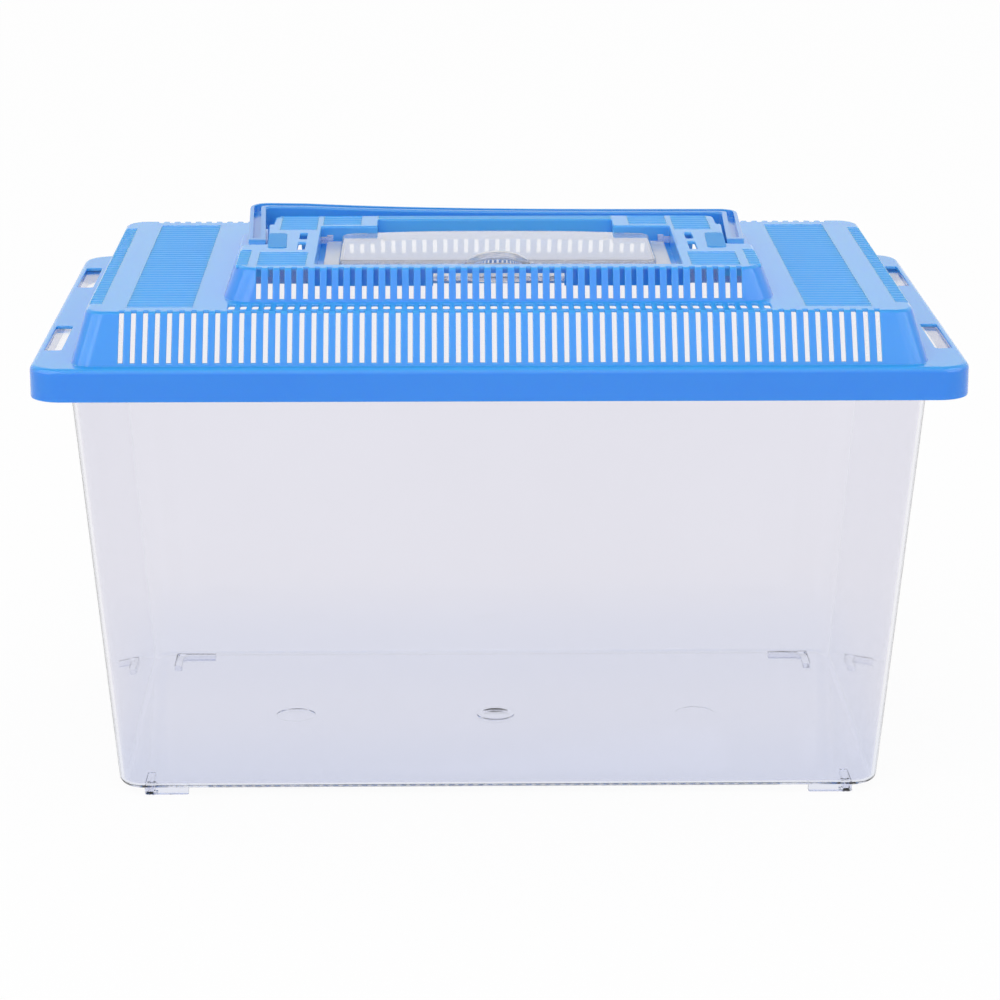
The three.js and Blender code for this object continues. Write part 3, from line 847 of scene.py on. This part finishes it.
def cutRecess(shell):
    recess = lid["recess"]
    half, front, back = recess["half"], recess["front"], recess["back"]
    notchHalf, notchBack = recess["notchHalf"], recess["notchBack"]
    high = platformTop + 3
    pocket = addBlock("pocket", (-half, half), (front, back), (recess["ledgeTop"], high))
    roundEdges(pocket, upright, recess["corner"], 4)
    notch = addBlock("notch", (-notchHalf, notchHalf), (0, notchBack), (recess["ledgeTop"], high))
    roundEdges(notch, lambda edge: upright(edge) and middle(edge).y > 0.1, recess["corner"], 4)
    combine(pocket, notch, "UNION")
    cutThrough(shell, pocket)
    softenCuts(shell, recess["edge"], 3)
    inner = recess["ledgeWidth"]
    tabHalf, tabBack = notchHalf - 0.02, notchBack - 0.02
    zSpan = (recess["ledgeTop"] - recess["ledge"] - 2, high)
    through = addBlock("through", (inner - half, half - inner), (front + inner, back - 1), zSpan)
    combine(through, addBlock("tabRoom", (-tabHalf, tabHalf), (back - 5, tabBack), zSpan), "UNION")
    combine(shell, markAll(through, insideMark), "DIFFERENCE")
    weld(shell)


def pairedRows(name, cut, level):
    cutters = []
    for side in (-1, 1):
        for ySpan in cut["rows"]:
            xSpan = sorted(side * value for value in cut["span"])
            cutters.append(addBlock(name, xSpan, ySpan, (level - 3, level + 2)))
    rows = joinAll(name, cutters)
    roundEdges(rows, upright, cut["corner"], 3)
    return rows


def cutSlots(shell):
    slots, plateau, platform, holes = lid["slots"], lid["plateau"], lid["platform"], lid["holes"]
    zSpan = (flangeTop + slots["sill"], plateauTop + 2)
    for side, over in ((-1, slots["overTop"]), (1, slots["overBack"])):
        edgeY = plateau["top"][1] - over
        ySpan = sorted((side * edgeY, side * (plateau["base"][1] + 3)))
        cutThrough(shell, rowOf("row", lid["plateauSlots"], slots["width"], ySpan, zSpan))
    ySpan = (-platform["front"] - platform["frontLean"] - 2, -platform["front"] + slots["overTop"])
    zSpan = (plateauTop + slots["sill"], platformTop + 2)
    cutThrough(shell, rowOf("row", lid["platformSlots"], slots["width"], ySpan, zSpan))
    width = holes["width"]
    zSpan = (plateauTop - 3, plateauTop + 2)
    cutThrough(shell, rowOf("row", holes, width, holes["span"], zSpan, width * 0.45))
    cutThrough(shell, pairedRows("windows", lid["windows"], flangeTop))
    cutThrough(shell, pairedRows("topSlots", lid["topSlots"], platformTop))
    softenCuts(shell, slots["soften"])


def cutSockets(shell):
    hingeX = lid["recess"]["half"] + lid["wall"] / 2
    for side in (-1, 1):
        for hole, x in ((lid["pivot"], lid["platform"]["narrow"]), (lid["hinge"], hingeX)):
            centre = (side * x, hole["y"], hole["z"])
            socket = addRound("socket", hole["radius"], hole["depth"], centre, "X", hole["count"])
            combine(shell, markAll(socket, insideMark), "DIFFERENCE")


def makeLid():
    shell = lidForm(0)
    for level, front in ((flangeTop, -200), (plateauTop, -200), (shelfTop, -21)):
        roundEdges(
            shell,
            lambda edge: atLevel(edge, level) and hollowCrease(edge) and middle(edge).y > front,
            lid["fillet"], 2,
        )
    markAll(shell, outsideMark)
    hollowOut(shell)
    cutRecess(shell)
    print("lid shell made", len(shell.data.polygons))
    cutSlots(shell)
    gripRoom = addBlock("gripRoom", *lid["recess"]["gripRoom"])
    combine(shell, markAll(gripRoom, insideMark), "DIFFERENCE")
    combine(shell, markAll(ribPockets(), insideMark), "DIFFERENCE")
    cutSockets(shell)
    weld(shell)
    outer = markIndex(shell, outsideMark)
    for polygon in shell.data.polygons:
        polygon.material_index = 0 if polygon.material_index == outer else 1
    finishSurface(shell, gloss, others=(inside,))
    return shell


lidShell = makeLid()
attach(lidShell, "lid")
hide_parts("lid")
print("lid made", len(lidShell.data.polygons))


def makeRibs():
    fields = [ribField(xSpan, ySpan, level) for xSpan, ySpan, level in ribLevels()]
    right = joinAll("lidRibs", fields)
    whole = joinAll("lidRibs", [right, mirrorCopy(right, 0)])
    finishSurface(whole, satin, 40)
    return whole


lidRibs = makeRibs()
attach(lidRibs, "lid")

pads = {
    "xSpan": (86.4, 94.2), "ySpan": (-30, 1.5), "shift": 1.1,
    "height": 0.25, "sunk": 0.3, "corner": 2.2, "edge": 0.2,
}


def makePads():
    high = platformTop + pads["height"]
    pad = addBlock("lidPads", pads["xSpan"], pads["ySpan"], (platformTop - pads["sunk"], high))
    for vert in pad.data.vertices:
        if vert.co.y > 0:
            vert.co.x += pads["shift"] * mm
    roundEdges(pad, upright, pads["corner"], 5)
    roundEdges(pad, lambda edge: atLevel(edge, high), pads["edge"], 2)
    both = joinAll("lidPads", [pad, mirrorCopy(pad, 0)])
    finishSurface(both, matte)
    return both


lidPads = makePads()
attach(lidPads, "lid")
print("ribs and pads made")

# Hatch door

door = {
    "half": 71.3, "front": -61.5, "back": 13.5, "tabHalf": 48, "tabBack": 32,
    "low": 209.2, "plate": 2, "corner": 3, "edge": 0.4,
    "pan": {
        "half": 64.8, "front": -43, "back": 16, "bow": 7, "bowCuts": 15,
        "height": 2.8, "wall": 1.5, "corner": 4, "edge": 1.2,
    },
    "grip": {
        "y": -38.5, "dish": (27, 16, 4.6), "wall": 1.5,
        "hood": {"y": -43, "radii": (13.8, 12, 6.4), "front": -44.2, "wall": (3.4, 3, 1.5)},
    },
    "hinge": {
        "y": 13.5, "z": 211.6, "knuckle": 2.2, "knuckleLength": 2.6, "knuckleEdge": 0.3,
        "pin": 1.4, "pinEnd": 75,
    },
}
doorHigh = door["low"] + door["plate"]
panTop = doorHigh + door["pan"]["height"]


def panForm(inset, low, high):
    pan = door["pan"]
    half, front, back = pan["half"] - inset, pan["front"] + inset, pan["back"] - inset
    form = addBlock("pan", (-half, half), (front, back), (low, high))
    edit(form, "EDGE")
    choose(form, "EDGE", lambda edge: not upright(edge) and near(middle(edge).y, back))
    bpy.ops.mesh.subdivide(number_cuts=pan["bowCuts"])
    leave()
    for vert in form.data.vertices:
        if near(vert.co.y / mm, back):
            vert.co.y += pan["bow"] * (1 - (vert.co.x / (half * mm)) ** 2) * mm
    corner = pan["corner"] - inset
    roundEdges(form, lambda edge: upright(edge) and near(abs(middle(edge).x), half, 0.1), corner, 6)
    roundEdges(form, lambda edge: atLevel(edge, high) and creased(edge), max(pan["edge"] - inset, 0.3), 3)
    return form


# The dish for a fingertip ends at the pan's front wall, and an arched hood stands over it
def gripDish(inset):
    grip, pan = door["grip"], door["pan"]
    halfX, halfY, depth = grip["dish"]
    radii = (halfX - inset, halfY - inset, door["plate"] + depth - inset)
    dish = addBall("dish", radii, (0, grip["y"], doorHigh), 64, 32)
    backEdge = pan["front"] + pan["wall"] - inset
    combine(dish, addBlock("behind", (-40, 40), (backEdge, 20), (190, 230)), "DIFFERENCE")
    return dish


def gripHood(hollow):
    hood = door["grip"]["hood"]
    radii = [radius - (wall if hollow else 0) for radius, wall in zip(hood["radii"], hood["wall"])]
    ball = addBall("hood", radii, (0, hood["y"], doorHigh), 64, 32)
    if not hollow:
        combine(ball, addBlock("front", (-40, 40), (-90, hood["front"]), (190, 230)), "DIFFERENCE")
    return keepAbove(ball, doorHigh + (0.02 if hollow else -0.3))


def keepBelow(piece, level):
    combine(piece, addBlock("above", (-90, 90), (-90, 90), (level, level + 40)), "DIFFERENCE")
    return piece


def keepAbove(piece, level):
    combine(piece, addBlock("below", (-90, 90), (-90, 90), (level - 40, level)), "DIFFERENCE")
    return piece


def makeDoor():
    low, half = door["low"], door["half"]
    plate = addBlock("doorPane", (-half, half), (door["front"], door["back"]), (low, doorHigh))
    roundEdges(plate, lambda edge: upright(edge) and middle(edge).y < 0, door["corner"], 5)
    tab = addBlock("tab", (-door["tabHalf"], door["tabHalf"]), (0, door["tabBack"]), (low, doorHigh))
    roundEdges(tab, lambda edge: upright(edge) and middle(edge).y > 1, door["corner"], 5)
    combine(plate, tab, "UNION")
    weld(plate)
    roundEdges(plate, lambda edge: creased(edge) and not upright(edge), door["edge"], 2)
    markAll(plate, insideMark)
    pan, grip, hinge = door["pan"], door["grip"], door["hinge"]
    combine(plate, markAll(panForm(0, low + 0.5, panTop), outsideMark), "UNION")
    combine(plate, panForm(pan["wall"], low - 2, panTop - pan["wall"]), "DIFFERENCE")
    combine(plate, keepBelow(gripDish(0), doorHigh - 0.02), "UNION")
    length, pinEnd = hinge["knuckleLength"], hinge["pinEnd"]
    root = half - length
    for side in (-1, 1):
        centre = (side * (half + root) / 2, hinge["y"], hinge["z"])
        knuckle = addRound("knuckle", hinge["knuckle"], length, centre, "X", 32)
        roundEdges(knuckle, lambda edge: atSide(edge, half), hinge["knuckleEdge"], 2)
        centre = (side * (pinEnd + root) / 2, hinge["y"], hinge["z"])
        combine(knuckle, addRound("pin", hinge["pin"], pinEnd - root, centre, "X", 24), "UNION")
        combine(plate, knuckle, "UNION")
    combine(plate, gripDish(grip["wall"]), "DIFFERENCE")
    combine(plate, gripHood(False), "UNION")
    combine(plate, gripHood(True), "DIFFERENCE")
    weld(plate)
    rim = markIndex(plate, insideMark)
    for polygon in plate.data.polygons:
        polygon.material_index = 1 if polygon.material_index == rim and polygon.normal.z > 0.9 else 0
    finishSurface(plate, clearDoor, others=(frosted,))
    return plate


doorPane = makeDoor()
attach(doorPane, "door")
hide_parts("door")
print("door made", len(doorPane.data.polygons))

# Carry handle with a shallow channel in its top

handle = {
    "low": 206.9, "high": 216.6, "pivotY": -10, "pivotZ": 211.75, "pivotX": 103.1, "splay": 3,
    "back": 59, "armWidth": 7.2, "crossbar": 8, "corner": 8,
    "outerRim": 1.8, "innerRim": 2.2, "channel": 2.8, "channelCorner": 1.2, "soften": 0.88, "endCorner": 2.6,
    "rise": 3, "riseLevelShare": 0.906, "risePower": 3.3, "riseCuts": 30,
    "pin": 2.4, "pinSpan": (92.4, 97),
}


def bailForm(name, insetSide, insetBack, front, low, high, corner):
    slope = handle["splay"] / (handle["back"] - handle["pivotY"])
    frontX = handle["pivotX"] - slope * (handle["pivotY"] - front) - insetSide
    backX = handle["pivotX"] + handle["splay"] - insetSide
    back = handle["back"] - insetBack
    form = addBlock(name, (-frontX, frontX), (front, back), (low, high))
    resizeVerts(form, lambda vert: near(place(vert).y, back), (backX / frontX, 1, 1), (0, back, 0))
    roundEdges(form, lambda edge: upright(edge) and middle(edge).y > 0, corner, 8)
    return form


# Lifts the back left corner, as the flexible handle stands, with the crossbar sagging away from it
def liftCorner(piece):
    reachX = handle["pivotX"] + handle["splay"]
    start = handle["pivotY"] + handle["pin"]
    reachY = handle["back"] - start
    cuts = handle["riseCuts"]
    edit(piece, "FACE")
    for i in range(1, cuts):
        x = (2 * i / cuts - 1) * handle["pivotX"] * 0.85
        bpy.ops.mesh.select_all(action="SELECT")
        bpy.ops.mesh.bisect(plane_co=(x * mm, 0, 0), plane_no=(1, 0, 0))
    leave()
    for vert in piece.data.vertices:
        x, y, z = vert.co / mm
        left = (1 - x / reachX) / 2
        bent = min(left / handle["riseLevelShare"], 1) ** handle["risePower"]
        away = max((y - start) / reachY, 0)
        vert.co.z += handle["rise"] * bent * away * mm


def makeHandle():
    low, high, corner = handle["low"], handle["high"], handle["corner"]
    radius = (high - low) / 2
    front = handle["pivotY"] - radius
    outerRim, innerRim = handle["outerRim"], handle["innerRim"]
    bail = bailForm("carryHandle", 0, 0, front, low, high, corner)
    gap = bailForm("gap", handle["armWidth"], handle["crossbar"], front - 4, low - 3, high + 3, 2)
    combine(bail, gap, "DIFFERENCE")
    weld(bail)
    roundEdges(bail, lambda edge: uprightAt(edge, front, 0.1), handle["endCorner"], 5)
    outline = addRound("outline", radius, 260, (0, handle["pivotY"], handle["pivotZ"]), "X", 48)
    run = addBlock("run", (-130, 130), (handle["pivotY"], 70), (low - 1, high + 1))
    combine(outline, run, "UNION")
    combine(bail, outline, "INTERSECT")
    weld(bail)
    roundEdges(
        bail,
        lambda edge: atLevel(edge, high) and creased(edge, 0.6) and middle(edge).y > handle["pivotY"] + 0.2,
        handle["soften"], 4,
    )
    channelFront = handle["pivotY"] + outerRim
    channelLow = high - handle["channel"]
    channel = bailForm(
        "channel", outerRim, outerRim, channelFront, channelLow, high + 3, corner - outerRim,
    )
    tongue = bailForm(
        "tongue", handle["armWidth"] - innerRim, handle["crossbar"] - innerRim,
        front - 2, low, high + 5, corner - 5,
    )
    combine(channel, tongue, "DIFFERENCE")
    roundEdges(channel, lambda edge: uprightAt(edge, channelFront, 0.1), handle["channelCorner"], 4)
    combine(bail, channel, "DIFFERENCE")
    weld(bail)
    liftCorner(bail)
    start, end = handle["pinSpan"]
    for side in (-1, 1):
        centre = (side * (start + end) / 2, handle["pivotY"], handle["pivotZ"])
        combine(bail, addRound("pin", handle["pin"], end - start, centre, "X", 32), "UNION")
    weld(bail)
    finishSurface(bail, handleBlue)
    return bail


carryHandle = makeHandle()
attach(carryHandle, "handle")
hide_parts("handle")
print("handle made", len(carryHandle.data.polygons))

# Stage, light and camera

stage = {
    "floorHalf": 6, "floorDrop": 0.2, "floorColour": (0.93, 0.93, 0.94), "floorRoughness": 0.9,
    "floorShow": 0.95,
    "world": 0.78, "ceiling": 0.35, "ceilingRise": (0.5, 0.85), "overhead": (0.92, 0.98),
    "target": (0, 0, 0.15), "bounces": 40,
    "key": {"power": 9, "size": 1.6, "place": (-0.3, -1.0, 1.5)},
    "card": {"power": 20, "size": 1.9, "place": (1.38, -0.66, 1.2)},
}
view = {
    "place": (-0.023154, -1.345988, 0.472284), "turn": (74.5785, -0.0867, -1.0386),
    "sensor": 36, "lens": 117.23, "clip": (0.01, 50),
}


# 1 for the rays that see the plain background, straight or in gloss or through clear plastic
def backgroundRays(tree):
    path = tree.nodes.new("ShaderNodeLightPath")
    direct = addMath(tree, "MAXIMUM", path.outputs["Is Camera Ray"], path.outputs["Is Glossy Ray"])
    return addMath(tree, "MAXIMUM", direct, path.outputs["Is Transmission Ray"])


def makeFloor():
    bpy.ops.object.select_all(action="DESELECT")
    size, level = 2 * stage["floorHalf"], -stage["floorDrop"] * mm
    bpy.ops.mesh.primitive_plane_add(size=size, location=(0, 0, level))
    floor = bpy.context.active_object
    floor.name = "floor"
    material = bpy.data.materials.new("paleFloor")
    material.use_nodes = True
    tree = material.node_tree
    shader = tree.nodes["Principled BSDF"]
    shader.inputs["Base Color"].default_value = (*stage["floorColour"], 1)
    shader.inputs["Roughness"].default_value = stage["floorRoughness"]
    shader.inputs["Specular IOR Level"].default_value = 0
    glow = tree.nodes.new("ShaderNodeEmission")
    glow.inputs["Strength"].default_value = 1
    mix = tree.nodes.new("ShaderNodeMixShader")
    share = addMath(tree, "MULTIPLY", backgroundRays(tree), stage["floorShow"])
    tree.links.new(share, mix.inputs["Fac"])
    tree.links.new(shader.outputs["BSDF"], mix.inputs[1])
    tree.links.new(glow.outputs["Emission"], mix.inputs[2])
    tree.links.new(mix.outputs["Shader"], tree.nodes["Material Output"].inputs["Surface"])
    floor.data.materials.append(material)
    return floor


# A white background; what gloss reflects is dimmer high up, save for a patch right overhead
def makeWorld():
    world = bpy.data.worlds.new("paleWorld")
    bpy.context.scene.world = world
    world.use_nodes = True
    tree = world.node_tree
    background = tree.nodes["Background"]
    background.inputs["Color"].default_value = (1, 1, 1, 1)
    level = addRange(tree, backgroundRays(tree), (0, 1), (stage["world"], 1))
    up = splitUp(tree, "Generated")
    ceiling = addRange(tree, up, stage["ceilingRise"], (0, 1 - stage["ceiling"]))
    shade = addMath(tree, "MULTIPLY", ceiling, addRange(tree, up, stage["overhead"], (1, 0)))
    path = tree.nodes.new("ShaderNodeLightPath")
    dim = addMath(tree, "MULTIPLY", path.outputs["Is Glossy Ray"], shade)
    tree.links.new(addMath(tree, "SUBTRACT", level, dim), background.inputs["Strength"])


def aim(thing, target):
    direction = Vector(target) - thing.location
    thing.rotation_euler = direction.to_track_quat("-Z", "Y").to_euler()


def addLamp(name, values, side=1):
    x, y, z = values["place"]
    bpy.ops.object.light_add(type="AREA", location=(side * x, y, z))
    lamp = bpy.context.active_object
    lamp.name = name
    lamp.data.size = values["size"]
    lamp.data.energy = values["power"]
    aim(lamp, stage["target"])
    return lamp


# The side cards are soft boxes that only reflections see
def makeLights():
    addLamp("key", stage["key"])
    for side in (-1, 1):
        card = addLamp("card", stage["card"], side)
        card.visible_diffuse = False
        card.visible_transmission = False


def makeCamera():
    bpy.ops.object.camera_add(location=view["place"])
    camera = bpy.context.active_object
    camera.rotation_euler = [math.radians(value) for value in view["turn"]]
    camera.data.sensor_width = view["sensor"]
    camera.data.lens = view["lens"]
    camera.data.clip_start, camera.data.clip_end = view["clip"]
    bpy.context.scene.camera = camera


makeFloor()
makeWorld()
makeLights()
makeCamera()
bpy.context.scene.view_settings.view_transform = "Standard"
cycles = bpy.context.scene.cycles
cycles.max_bounces = stage["bounces"]
cycles.transmission_bounces = stage["bounces"]
cycles.glossy_bounces = stage["bounces"]
print("stage made")

for mark in (outsideMark, insideMark, cutMark):
    bpy.data.materials.remove(mark)
